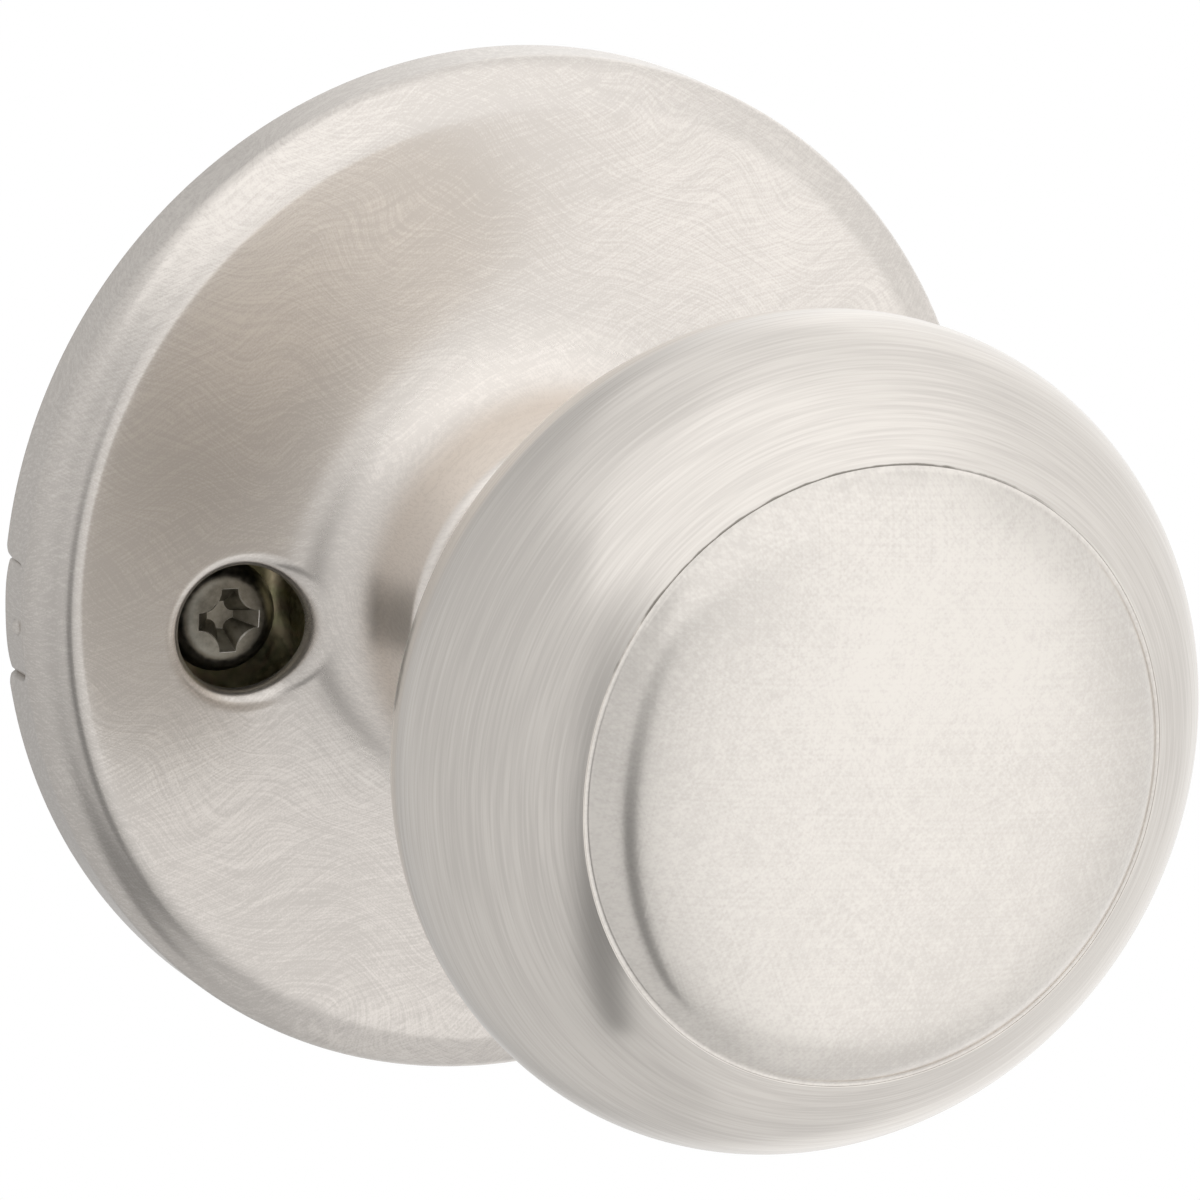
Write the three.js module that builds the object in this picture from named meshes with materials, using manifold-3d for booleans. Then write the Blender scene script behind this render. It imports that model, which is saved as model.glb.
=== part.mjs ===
// Round door knob for one side of an interior door: the half that carries the two through-screws.
// Millimetres, +Z up. The knob's axis is Y and passes through the origin. The door's face is the plane
// y = 0: the knob stands out towards -Y, and the spindle and the screws go into the door towards +Y.
import * as THREE from 'three';
import { mergeVertices } from 'three/addons/utils/BufferGeometryUtils.js';
import Module from 'manifold-3d';

const wasm = await Module();
wasm.setup();

// ---- Driving dimensions. A "depth" is a distance out from the door's face, along -Y, so a negative
// depth is inside the door.
const SHEET = 0.8; // stamped rose, knob shell and spring cover
const PLATE = 1.2; // stamped mounting plate
const REST_GAP = 0.05; // between pieces that rest on each other
const TURN_GAP = 0.3; // between a turning piece and a fixed one

const ROSE_RADIUS = 32.5;
const ROSE_WALL = 3.0; // depth where the straight rim starts to round over
const SHOULDER_RADIUS = 30.0; // the crease between the rounded rim and the almost flat face
const SHOULDER_DEPTH = 5.6;
const SWEEP_END = 12.0; // depth where the sweep up from the face becomes the hub's straight wall
const HUB_RADIUS = 12.4;
const HUB_DEPTH = 17.1;
const HUB_MOUTH = 11.5;
const NOTCH_WIDTH = 7.3; // the notch in the rose's rim, cut from the door's side
const NOTCH_DEPTH = 3.0;
const NOTCH_CUT = 0.35;
const NOTCH_TURN = 3.5; // degrees above the left screw

const SCREW_OFFSET = 19.05; // the pair is 38.1 mm apart, across the knob
const ACCESS_HOLE = 4.0;
const ROLLED_EDGE = 1.6; // height of the collar round each access hole
const HEAD_RADIUS = 3.55;
const HEAD_HEIGHT = 2.4;
const SCREW_RADIUS = 2.05;
const SCREW_LENGTH = 25.4; // under the head
const RECESS_SPAN = 4.1; // cross recess, tip to tip
const RECESS_WIDTH = 1.15;
const RECESS_DEPTH = 1.5;
const RECESS_TURN = 7; // degrees that the recess is turned from upright

const KNOB_RADIUS = 25.3;
const BULB_DEPTH = 44.64; // depth of the widest circle
const BULB_HALF = 14.84; // half the thickness of the bulb
const VALLEY_DEPTH = 54.75; // the narrow valley between the bulb and the raised front
const KNOB_DEPTH = 58.5;
const SKIRT_RADIUS = 18.2; // the front cap's skirt, inside the shell's mouth
const NECK_RADIUS = 10.9;
const NECK_TOP = 29.5; // where the neck's straight wall ends
const BACK_RADIUS = 16.0; // where the bulb's back turns into the neck
const BACK_DEPTH = 33.8;
const NECK_END = 14.0;
const CORE_OUTER = 15.4; // the core's flange, inside the bulb
const CORE_SEAT = 9.3; // the core's recess that takes the shank's flare

const DISH_FOOT = 14.5; // the mounting plate's raised middle, which holds the spring
const DISH_TOP = 12.5;
const DISH_DEPTH = 8.4;
const DISH_FLOOR = DISH_DEPTH - PLATE;
const BEND_RADIUS = 0.7; // where the plate is bent
const BUSHING_RADIUS = 9.35;
const SHANK_RADIUS = 8.0;
const SHANK_BORE = 5.3;
const SHANK_END = 0.5;
const SHANK_TOP = 31.2; // where the shank is flared over the core
const DRIVER_DEPTH = 5.9; // the driver plate's rear face
const DRIVER_THICKNESS = 1.0;
const SPINDLE_RADIUS = 3.95; // half-round bar whose flat lies on the axis
const SPINDLE_INSIDE = 31.0;
const SPINDLE_REACH = 46.0;
const SNAP_PITCH = 6.35; // break-off scores along the spindle's flat

const SPRING_RADIUS = 9.2;
const WIRE_RADIUS = 0.6;
const SPRING_PITCH = 1.3;
const SPRING_START = 1.15;
const LEG_OFFSET = 3.05; // the spring's two straight legs stand this far each side of the tab
const LEG_REACH = 11.8;
const TAB_HALF_WIDTH = 2.2;
const TAB_INNER = 10.1; // the driver's tab sweeps this band of radii
const TAB_THICKNESS = 0.8;
const LUG_INNER = 11.25; // the spring cover's fixed lug stands just outside the tab
const COVER_FRONT = 0.1; // depths of the spring cover's two faces
const COVER_REAR = -0.7;
const RIVET_RADIUS = 0.9;
const RIVET_NECK = 0.6;
const RIVET_HOLE = 0.65;
const RIVET_HEAD = 1.15;
const RIVET_HEAD_HEIGHT = 0.4;
const RIVET_CIRCLE = 10.9;
const RIVET_ANGLES = [90, 195, 345]; // the lower two also stop the tab at the end of its turn

// ---- Materials
const metal = (color, roughness, metalness = 1) =>
  new THREE.MeshStandardMaterial({ color, roughness, metalness });
const satinNickel = metal(0xcfcac3, 0.34);
const darkScrew = metal(0x57534b, 0.38);
const yellowZinc = metal(0x8d8255, 0.42);
const brightSteel = metal(0xa9abad, 0.36);
const springSteel = metal(0x6d6f72, 0.4);
const dieCast = metal(0x9a9b9c, 0.5);
const nylon = metal(0xe9e6dc, 0.55, 0);

// ---- Outlines are lists of (radius, depth) points.
const at = (radius, depth) => new THREE.Vector2(radius, depth);
const radians = THREE.MathUtils.degToRad;

function ellipse(centre, wide, deep, fromDegrees, toDegrees, steps) {
  return Array.from({ length: steps + 1 }, (_, i) => {
    const a = radians(fromDegrees + ((toDegrees - fromDegrees) * i) / steps);
    return at(centre.x + wide * Math.cos(a), centre.y + deep * Math.sin(a));
  });
}

const bend = (from, pullFrom, pullTo, to, steps) =>
  new THREE.CubicBezierCurve(from, pullFrom, pullTo, to).getPoints(steps);

// An outline moved sideways by a sheet's thickness, to the left of its direction.
function beside(outline, distance) {
  return outline.map((point, i) => {
    const before = outline[Math.max(i - 1, 0)];
    const after = outline[Math.min(i + 1, outline.length - 1)];
    const along = after.clone().sub(before).normalize();
    return at(point.x - along.y * distance, point.y + along.x * distance);
  });
}

// ---- Solids that can be joined and cut
function solid(geometry) {
  const bare = geometry.clone();
  bare.deleteAttribute('normal');
  bare.deleteAttribute('uv');
  const merged = mergeVertices(bare, 1e-4);
  return new wasm.Manifold(new wasm.Mesh({
    numProp: 3,
    vertProperties: merged.attributes.position.array,
    triVerts: new Uint32Array(merged.index.array),
  }));
}

function geometryOf(body) {
  const { vertProperties, triVerts } = body.getMesh();
  const geometry = new THREE.BufferGeometry();
  geometry.setAttribute('position', new THREE.BufferAttribute(vertProperties, 3));
  geometry.setIndex(new THREE.BufferAttribute(triVerts, 1));
  geometry.computeVertexNormals();
  return geometry;
}

// ---- Basic forms
// Turns an outline round the knob's axis. An outline that doesn't start and end on the axis is closed
// on itself.
function turned(outline, segments = 36) {
  const points = outline.map((point) => at(Math.max(point.x, 0), -point.y));
  if (points[0].x > 0 || points.at(-1).x > 0) points.push(points[0].clone());
  if (THREE.ShapeUtils.area(points) < 0) points.reverse();
  return new THREE.LatheGeometry(points, segments);
}

const ring = (inner, outer, near, far, segments = 24) =>
  turned([at(inner, near), at(outer, near), at(outer, far), at(inner, far)], segments);

const disc = (radius, near, far, segments = 24) =>
  turned([at(0, near), at(radius, near), at(radius, far), at(0, far)], segments);

// A flat shape drawn in X and Z, thick from one depth to another.
const plank = (shape, near, far, curveSegments = 12) =>
  new THREE.ExtrudeGeometry(shape, { depth: far - near, bevelEnabled: false, curveSegments })
    .translate(0, 0, near)
    .rotateX(Math.PI / 2);

// A box that spans two values of x, two depths and two values of z.
const block = ([x0, x1], [near, far], [z0, z1]) =>
  new THREE.BoxGeometry(x1 - x0, far - near, z1 - z0)
    .translate((x0 + x1) / 2, -(near + far) / 2, (z0 + z1) / 2);

// ---- The fixed half: rose, mounting plate, spring case and screws
function roseOutline() {
  const crease = at(SHOULDER_RADIUS, SHOULDER_DEPTH);
  const rim = bend(
    at(ROSE_RADIUS, ROSE_WALL),
    at(ROSE_RADIUS, ROSE_WALL + 1.1),
    at(crease.x + 1.4, crease.y - 1.0),
    at(crease.x + 0.3, crease.y - 0.2),
    3,
  );
  const skirt = bend(
    crease,
    at(crease.x - 9, crease.y + 0.25),
    at(HUB_RADIUS, crease.y + 0.4),
    at(HUB_RADIUS, SWEEP_END),
    8,
  );
  const lip = HUB_RADIUS - HUB_MOUTH;
  const mouth = ellipse(at(HUB_MOUTH, HUB_DEPTH - lip), lip, lip, 0, 90, 2);
  return [at(ROSE_RADIUS, 0), ...rim, ...skirt, ...mouth];
}

function rose() {
  const outside = roseOutline();
  const inside = beside(outside, SHEET);
  inside[inside.length - 1] = at(HUB_MOUTH, HUB_DEPTH - SHEET);
  const full = solid(turned([at(0, 0), ...outside, at(0, HUB_DEPTH)]));
  const rolledBand = full.subtract(full.translate([0, ROLLED_EDGE, 0]));
  let sheet = solid(turned([...outside, ...inside.reverse()]));
  for (const side of [-1, 1]) {
    // The hole's edge is rolled inwards, which makes a short collar under the sheet.
    const spot = [side * SCREW_OFFSET, 0, 0];
    const collar = solid(ring(ACCESS_HOLE, ACCESS_HOLE + SHEET, 0, HUB_DEPTH)).translate(spot);
    const hole = solid(disc(ACCESS_HOLE, 0, HUB_DEPTH)).translate(spot);
    sheet = sheet.add(collar.intersect(rolledBand)).subtract(hole);
  }
  // A shallow notch in the rim takes a screwdriver that lifts the rose off its plate.
  const notch = block(
    [-ROSE_RADIUS - 1, NOTCH_CUT - ROSE_RADIUS],
    [-1, NOTCH_DEPTH],
    [-NOTCH_WIDTH / 2, NOTCH_WIDTH / 2],
  );
  return geometryOf(sheet.subtract(solid(notch).rotate([0, NOTCH_TURN, 0])));
}

// A flat plate with a raised dish in its middle.
function mountingPlate() {
  const edge = ROSE_RADIUS - SHEET - TURN_GAP;
  const hole = BUSHING_RADIUS + REST_GAP;
  let plate = solid(turned([
    at(edge, 0),
    at(edge, PLATE),
    at(DISH_FOOT + BEND_RADIUS, PLATE),
    at(DISH_FOOT, PLATE + BEND_RADIUS),
    at(DISH_TOP + BEND_RADIUS, DISH_DEPTH - BEND_RADIUS),
    at(DISH_TOP, DISH_DEPTH),
    at(hole, DISH_DEPTH),
    at(hole, DISH_FLOOR),
    at(DISH_TOP - 0.4, DISH_FLOOR),
    at(DISH_FOOT - PLATE - 0.2, 0.4),
    at(DISH_FOOT - PLATE + 0.2, 0),
  ]));
  for (const side of [-1, 1]) {
    const clearance = solid(disc(SCREW_RADIUS + TURN_GAP, -1, PLATE + 1, 20));
    plate = plate.subtract(clearance.translate([side * SCREW_OFFSET, 0, 0]));
  }
  for (const angle of RIVET_ANGLES) {
    const rivetHole = solid(disc(RIVET_HOLE, DISH_FLOOR - 1, DISH_DEPTH + 1, 12));
    plate = plate.subtract(onCircle(rivetHole, angle));
  }
  return geometryOf(plate);
}

// Moves a solid from the axis out to the rivets' circle.
function onCircle(body, degrees) {
  const angle = radians(degrees);
  return body.translate([RIVET_CIRCLE * Math.cos(angle), 0, RIVET_CIRCLE * Math.sin(angle)]);
}

// A flanged nylon sleeve in the plate's middle, which the knob's shank turns in.
function hubBushing() {
  const bore = SHANK_RADIUS + TURN_GAP;
  const flange = BUSHING_RADIUS + 0.35;
  const seat = DISH_DEPTH + REST_GAP;
  const front = seat + 0.8;
  return turned([
    at(bore, DISH_FLOOR),
    at(BUSHING_RADIUS, DISH_FLOOR),
    at(BUSHING_RADIUS, seat),
    at(flange, seat),
    at(flange, front),
    at(bore, front),
  ], 24);
}

// The rear cover holds the spring in the dish. Its lug is bent forward between the spring's legs.
function springCover() {
  const cover = solid(ring(6.0, 12.5, COVER_REAR, COVER_FRONT));
  const lug = solid(block(
    [-TAB_HALF_WIDTH, TAB_HALF_WIDTH],
    [-0.3, 4.8],
    [-LUG_INNER - TAB_THICKNESS, -LUG_INNER],
  ));
  let body = cover.add(lug);
  for (const angle of RIVET_ANGLES) {
    body = body.subtract(onCircle(solid(disc(RIVET_HOLE, -2, 2, 12)), angle));
  }
  return geometryOf(body);
}

// A shouldered rivet: its thick middle keeps the cover and the plate apart.
function coverRivet(degrees) {
  const rear = COVER_REAR - REST_GAP;
  const front = DISH_DEPTH + REST_GAP;
  const shoulder = [COVER_FRONT + REST_GAP, DISH_FLOOR - REST_GAP];
  const body = solid(turned([
    at(0, rear - RIVET_HEAD_HEIGHT),
    at(RIVET_HEAD, rear - RIVET_HEAD_HEIGHT),
    at(RIVET_HEAD, rear),
    at(RIVET_NECK, rear),
    at(RIVET_NECK, shoulder[0]),
    at(RIVET_RADIUS, shoulder[0]),
    at(RIVET_RADIUS, shoulder[1]),
    at(RIVET_NECK, shoulder[1]),
    at(RIVET_NECK, front),
    at(RIVET_HEAD, front),
    at(RIVET_HEAD, front + RIVET_HEAD_HEIGHT),
    at(0, front + RIVET_HEAD_HEIGHT),
  ], 12));
  return geometryOf(onCircle(body, degrees));
}

// A torsion spring round the shank, with two straight legs that point down.
function returnSpring() {
  const lead = 14; // degrees of coil given to the bend into each leg
  const legAngle = (Math.asin(LEG_OFFSET / SPRING_RADIUS) * 180) / Math.PI;
  const from = -90 + legAngle + lead;
  const to = -90 - legAngle - lead + 720;
  const last = SPRING_START + (SPRING_PITCH * (to - from)) / 360;
  const steps = 28;
  const coil = Array.from({ length: steps + 1 }, (_, i) => {
    const a = radians(from + ((to - from) * i) / steps);
    const depth = SPRING_START + ((last - SPRING_START) * i) / steps;
    return new THREE.Vector3(SPRING_RADIUS * Math.cos(a), -depth, SPRING_RADIUS * Math.sin(a));
  });
  const leg = (x, depth, reach) => new THREE.Vector3(x, -depth, -reach);
  const path = new THREE.CatmullRomCurve3([
    leg(LEG_OFFSET, SPRING_START, LEG_REACH),
    leg(LEG_OFFSET, SPRING_START, LEG_REACH - 1.6),
    ...coil,
    leg(-LEG_OFFSET, last, LEG_REACH - 1.6),
    leg(-LEG_OFFSET, last, LEG_REACH),
  ], false, 'centripetal');
  const wire = new THREE.Shape().absarc(0, 0, WIRE_RADIUS, 0, 2 * Math.PI);
  return new THREE.ExtrudeGeometry(wire, { steps: 56, curveSegments: 3, extrudePath: path });
}

// A pan-head machine screw with a cross recess.
function mountingScrew(side) {
  const seat = PLATE + REST_GAP;
  const top = seat + HEAD_HEIGHT;
  const tip = seat - SCREW_LENGTH;
  let screw = solid(turned([
    at(0, tip),
    at(SCREW_RADIUS - 0.6, tip),
    at(SCREW_RADIUS, tip + 0.8),
    at(SCREW_RADIUS, seat),
    at(HEAD_RADIUS, seat),
    ...ellipse(at(HEAD_RADIUS - 1.5, seat + 0.7), 1.5, HEAD_HEIGHT - 0.85, 0, 70, 3),
    at(0, top),
  ], 20));
  const arm = new THREE.Shape([
    at(-RECESS_SPAN / 2, top + 0.5),
    at(-RECESS_SPAN / 2, top - 0.3),
    at(-0.6, top - RECESS_DEPTH),
    at(0.6, top - RECESS_DEPTH),
    at(RECESS_SPAN / 2, top - 0.3),
    at(RECESS_SPAN / 2, top + 0.5),
  ]);
  const slot = new THREE.ExtrudeGeometry(arm, { depth: RECESS_WIDTH, bevelEnabled: false })
    .translate(0, 0, -RECESS_WIDTH / 2)
    .rotateZ(Math.PI);
  screw = screw.subtract(solid(slot)).subtract(solid(slot.clone().rotateY(Math.PI / 2)));
  return geometryOf(screw.rotate([0, RECESS_TURN, 0]).translate([side * SCREW_OFFSET, 0, 0]));
}

// ---- The turning half: hollow knob, core, shank and the pieces on the shank
function bulbOutline() {
  const centre = at(0, BULB_DEPTH);
  const bulb = ellipse(centre, KNOB_RADIUS, BULB_HALF, 43, -30, 7);
  const edge = bulb.at(-1);
  const turn = at(BACK_RADIUS, BACK_DEPTH);
  const back = bend(edge, at(edge.x - 1.5, edge.y - 1.5), at(turn.x + 2.6, turn.y + 1), turn, 3);
  const neck = bend(
    turn,
    at(turn.x - 3.1, turn.y - 1.05),
    at(NECK_RADIUS, NECK_TOP + 2.8),
    at(NECK_RADIUS, NECK_TOP),
    4,
  );
  return [...bulb, ...back.slice(1), ...neck.slice(1), at(NECK_RADIUS, NECK_END)];
}

// The bulb and its neck are one spun shell, open at both ends.
function knobShell() {
  const outside = bulbOutline();
  const inside = beside(outside, -SHEET);
  inside[0] = at(outside[0].x, outside[0].y - 1.25 * SHEET);
  return turned([...outside, ...inside.reverse()]);
}

// The raised front is a separate cap. Its skirt goes through the shell's mouth and is crimped behind it.
function knobFace() {
  const front = bend(
    at(0, KNOB_DEPTH),
    at(SKIRT_RADIUS - 2.6, KNOB_DEPTH),
    at(SKIRT_RADIUS - 1.2, KNOB_DEPTH - 2.3),
    at(SKIRT_RADIUS, VALLEY_DEPTH + REST_GAP),
    10,
  );
  const inner = SKIRT_RADIUS - SHEET;
  const rim = VALLEY_DEPTH - 2.8;
  const crimp = [
    at(SKIRT_RADIUS, rim + 1.3),
    at(SKIRT_RADIUS + 1, rim + 0.6),
    at(SKIRT_RADIUS + 1, rim),
    at(inner, rim),
  ];
  const behind = beside(front, -SHEET).slice(0, -2).reverse();
  return turned([...front, ...crimp, at(inner, VALLEY_DEPTH), ...behind]);
}

// A die-cast core stiffens the neck and carries the shell on the shank.
function knobCore() {
  const bore = SHANK_RADIUS + REST_GAP;
  const neckInside = NECK_RADIUS - SHEET - 0.15;
  return turned([
    at(bore, 11.0),
    at(neckInside, 11.0),
    at(neckInside, SHANK_TOP - 1.8),
    at(neckInside + 0.1, SHANK_TOP + 0.4),
    at(11.4, SHANK_TOP + 2.1),
    at(13.3, SHANK_TOP + 3.0),
    at(CORE_OUTER, SHANK_TOP + 3.8),
    at(CORE_OUTER, SHANK_TOP + 5.2),
    at(CORE_SEAT, SHANK_TOP + 2.2),
    at(CORE_SEAT, SHANK_TOP - REST_GAP),
    at(bore, SHANK_TOP - REST_GAP),
  ]);
}

// A steel tube flared over the core at its front end. A groove near its rear end takes the retaining
// ring, and a keyway takes the driver plate's key.
function knobShank() {
  const groove = SHANK_RADIUS - 0.65;
  const flare = CORE_SEAT - TURN_GAP;
  const tube = solid(turned([
    at(SHANK_BORE, SHANK_END),
    at(SHANK_RADIUS, SHANK_END),
    at(SHANK_RADIUS, DRIVER_DEPTH - 0.95),
    at(groove, DRIVER_DEPTH - 0.95),
    at(groove, DRIVER_DEPTH - REST_GAP),
    at(SHANK_RADIUS, DRIVER_DEPTH - REST_GAP),
    at(SHANK_RADIUS, SHANK_TOP),
    at(flare, SHANK_TOP),
    at(flare, SHANK_TOP + 1.2),
    at(SHANK_BORE, SHANK_TOP + 1.2),
  ], 24));
  const keyway = block([-0.8, 0.8], [SHANK_END - 1, DRIVER_DEPTH + DRIVER_THICKNESS + 0.1], [7.2, 9]);
  return geometryOf(tube.subtract(solid(keyway)));
}

// The driver plate is keyed to the shank. Its tab pushes one leg of the spring as the knob turns.
function driverPlate() {
  const front = DRIVER_DEPTH + DRIVER_THICKNESS;
  const width = [-TAB_HALF_WIDTH, TAB_HALF_WIDTH];
  const hub = solid(ring(SHANK_RADIUS + REST_GAP, SHANK_RADIUS + 1.75, DRIVER_DEPTH, front));
  const key = solid(block([-0.65, 0.65], [DRIVER_DEPTH, front], [7.3, 9]));
  const arm = solid(block(width, [DRIVER_DEPTH, front], [-TAB_INNER - TAB_THICKNESS, -8.6]));
  const tab = solid(block(width, [0.7, front], [-TAB_INNER - TAB_THICKNESS, -TAB_INNER]));
  return geometryOf(hub.add(key).add(arm).add(tab));
}

// An open ring that snaps into the shank's groove behind the driver plate.
function retainingRing() {
  const opening = radians(28);
  const start = Math.PI / 2 + opening;
  const end = Math.PI * 2.5 - opening;
  const shape = new THREE.Shape()
    .absarc(0, 0, SHANK_RADIUS + 1.3, start, end, false)
    .absarc(0, 0, SHANK_RADIUS - 0.55, end, start, true);
  return plank(shape, DRIVER_DEPTH - 0.9, DRIVER_DEPTH - 0.1, 20);
}

// Three gentle waves press the knob outwards, so that it doesn't rattle.
function waveWasher() {
  const near = DISH_DEPTH + 1.3;
  const washer = ring(SHANK_RADIUS + 0.1, SHANK_RADIUS + 1.7, near, near + 0.35, 36);
  const place = washer.attributes.position;
  for (let i = 0; i < place.count; i += 1) {
    const angle = Math.atan2(place.getZ(i), place.getX(i));
    place.setY(i, place.getY(i) + 0.13 * Math.cos(3 * angle));
  }
  washer.computeVertexNormals();
  return washer;
}

const thrustWasher = () =>
  ring(SHANK_RADIUS + 0.1, SHANK_RADIUS + 1.9, DISH_DEPTH + 1.95, DISH_DEPTH + 2.55);

// A plug in the shank's bore. The spindle slides in its half-round hole, under the leaf spring.
function spindleDriver() {
  const clearance = 0.15;
  const radius = SPINDLE_RADIUS + clearance;
  const edge = Math.asin(clearance / radius);
  const plug = new THREE.Shape().absarc(0, 0, SHANK_BORE - REST_GAP, 0, 2 * Math.PI);
  const hole = new THREE.Path()
    .absarc(0, 0, radius, Math.PI - edge, 2 * Math.PI + edge, false)
    .lineTo(1.8, clearance)
    .lineTo(1.8, 2.2)
    .lineTo(-1.8, 2.2)
    .lineTo(-1.8, clearance);
  plug.holes.push(hole);
  return plank(plug, 8, 28);
}

// A bowed leaf that presses on the spindle's flat.
function leafSpring() {
  const [near, far, foot, rise, thickness] = [10, 26, 1.7, 1.3, 0.3];
  const bow = Array.from({ length: 9 }, (_, i) => {
    const u = i / 4 - 1;
    return at(near + ((far - near) * i) / 8, foot - rise * (1 - u * u));
  });
  const upper = bow.map((point) => at(point.x, point.y + thickness)).reverse();
  const side = new THREE.Shape([...bow, ...upper]);
  return new THREE.ExtrudeGeometry(side, { depth: 3, bevelEnabled: false })
    .translate(0, 0, -1.5)
    .rotateY(-Math.PI / 2)
    .rotateX(Math.PI / 2);
}

// ---- The sliding spindle: a half-round bar, scored across its flat so that it snaps to length.
function spindle() {
  const half = new THREE.Shape().absarc(0, 0, SPINDLE_RADIUS, Math.PI, 2 * Math.PI, false);
  let bar = solid(plank(half, -SPINDLE_REACH, SPINDLE_INSIDE));
  for (let y = 5; y < SPINDLE_REACH; y += SNAP_PITCH) {
    bar = bar.subtract(solid(block([-5, 5], [-y - 0.3, -y + 0.3], [-0.45, 1])));
  }
  bar = bar.subtract(solid(block([-5, 5], [1.0, 1.6], [-0.45, 1])));
  return geometryOf(bar);
}

// ---- The assembly
function piece(name, geometry, material) {
  const mesh = new THREE.Mesh(geometry, material);
  mesh.name = name;
  return mesh;
}

const fixedHalf = new THREE.Group();
fixedHalf.add(
  piece('rose', rose(), satinNickel),
  piece('mounting_plate', mountingPlate(), yellowZinc),
  piece('hub_bushing', hubBushing(), nylon),
  piece('spring_cover', springCover(), yellowZinc),
  ...RIVET_ANGLES.map((angle, i) => piece(`cover_rivet_${i + 1}`, coverRivet(angle), brightSteel)),
  piece('return_spring', returnSpring(), springSteel),
  piece('left_screw', mountingScrew(-1), darkScrew),
  piece('right_screw', mountingScrew(1), darkScrew),
);

const turningHalf = new THREE.Group();
turningHalf.add(
  piece('knob_shell', knobShell(), satinNickel),
  piece('knob_face', knobFace(), satinNickel),
  piece('knob_core', knobCore(), dieCast),
  piece('knob_shank', knobShank(), brightSteel),
  piece('driver_plate', driverPlate(), yellowZinc),
  piece('retaining_ring', retainingRing(), springSteel),
  piece('wave_washer', waveWasher(), springSteel),
  piece('thrust_washer', thrustWasher(), brightSteel),
  piece('spindle_driver', spindleDriver(), dieCast),
  piece('leaf_spring', leafSpring(), springSteel),
);

const doorKnob = new THREE.Group();
doorKnob.add(fixedHalf, turningHalf, piece('spindle', spindle(), brightSteel));

export default doorKnob;
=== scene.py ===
"""Looks for the round door knob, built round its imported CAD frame.

Shapes are drawn in millimetres and made into meshes in metres, in the CAD's own frame: the knob's axis is
Y, the door's face is the plane y = 0 and the knob stands out towards -Y. An outline is a list of
(radius, depth) points, where a depth is a distance out from the door's face along -Y.
"""

import math

import bmesh
import bpy
import numpy as np
from mathutils import Matrix, Vector


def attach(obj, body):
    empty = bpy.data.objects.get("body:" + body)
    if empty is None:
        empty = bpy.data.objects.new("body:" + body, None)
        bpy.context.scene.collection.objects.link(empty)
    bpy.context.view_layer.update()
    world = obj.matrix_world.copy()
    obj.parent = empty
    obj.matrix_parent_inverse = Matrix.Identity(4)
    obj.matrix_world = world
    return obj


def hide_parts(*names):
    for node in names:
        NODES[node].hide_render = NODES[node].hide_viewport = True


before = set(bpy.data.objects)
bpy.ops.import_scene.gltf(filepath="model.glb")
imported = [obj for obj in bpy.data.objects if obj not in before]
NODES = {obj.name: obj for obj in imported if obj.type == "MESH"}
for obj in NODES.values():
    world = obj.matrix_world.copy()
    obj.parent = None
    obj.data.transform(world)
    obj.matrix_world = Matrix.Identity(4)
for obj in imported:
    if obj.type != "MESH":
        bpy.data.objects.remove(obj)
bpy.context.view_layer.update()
MM = 0.001

# ---- Driving dimensions, in millimetres. The main ones are the CAD part's own.
SHEET = 0.8
PLATE = 1.2

ROSE_RADIUS = 32.5
ROSE_WALL = 3.0
SHOULDER = (30.0, 5.6)  # where the rounded rim meets the almost flat face
SWEEP_END = 12.0  # depth where the sweep up from the face becomes the hub's straight wall
HUB_RADIUS = 12.4
HUB_DEPTH = 17.1
HUB_MOUTH = 11.5

SCREW_OFFSET = 19.05
ACCESS_HOLE = 4.0
HOLE_ROUND = 1.15  # radius of the hole's rolled edge
HOLE_COLLAR = 1.6

NOTCH_ANGLE = math.pi - math.radians(3.5)  # the notch in the rose's rim is just above the left screw
NOTCH_HALF = 3.65
NOTCH_DEPTH = 3.0
NOTCH_CORNER = 0.9
GROOVE_DEPTH = 0.22  # of the fine groove round the notch
GROOVE_HALF = 0.1
PIP = (-0.4, 1.9)  # the round pip's place in the notch: along the rim, and its depth
PIP_RADIUS = 0.5
PIP_HEIGHT = 0.32

KNOB_RADIUS = 25.3
BULB_DEPTH = 44.64
BULB_HALF = 14.84
MOUTH = 18.5  # radius of the shell's mouth, which the front cap is set into
MOUTH_DEPTH = 54.7
SKIRT = (18.2, 54.8)  # where the front cap goes into the mouth
KNOB_DEPTH = 58.5
NECK_RADIUS = 10.9
NECK_TOP = 29.5
BACK = (16.0, 33.8)  # where the bulb's back turns into the neck
NECK_END = 14.0
SHANK_RADIUS = 8.0
SHANK_BORE = 5.3

HEAD_RADIUS = 3.55
HEAD_SEAT = 1.25
HEAD_TOP = 3.65
HEAD_ROUND = 1.5  # radius of the head's rounded side
SCREW_RADIUS = 2.05
SCREW_TIP = -24.15
THREAD_PITCH = 0.79
THREAD_DEPTH = 0.34
RECESS_EDGE = 3.51  # depth of the worn chamfer's foot, round the recess
RECESS_DEPTH = 1.6
RECESS_TURN = 7  # degrees
RECESS_REACH = 2.5  # the recess and its chamfer are inside this radius

DISH_DEPTH = 8.4  # the plate's raised middle
RIVET_CIRCLE = 10.9
RIVET_ANGLES = (90, 195, 345)
RIVET_HOLE = 0.65
SPINDLE_RADIUS = 3.95
SPINDLE_ENDS = (-46.0, 31.0)  # depths
SNAP_PITCH = 6.35


# ---- Outlines
def chain(*parts):
    """Joins lists of points into one outline, leaving out a point that repeats the one before it."""
    outline = []
    for part in parts:
        for point in part:
            if not outline or math.dist(outline[-1], point) > 1e-6:
                outline.append(point)
    return outline


def line(start, end, steps=1):
    return [
        (start[0] + (end[0] - start[0]) * i / steps, start[1] + (end[1] - start[1]) * i / steps)
        for i in range(steps + 1)
    ]


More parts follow.
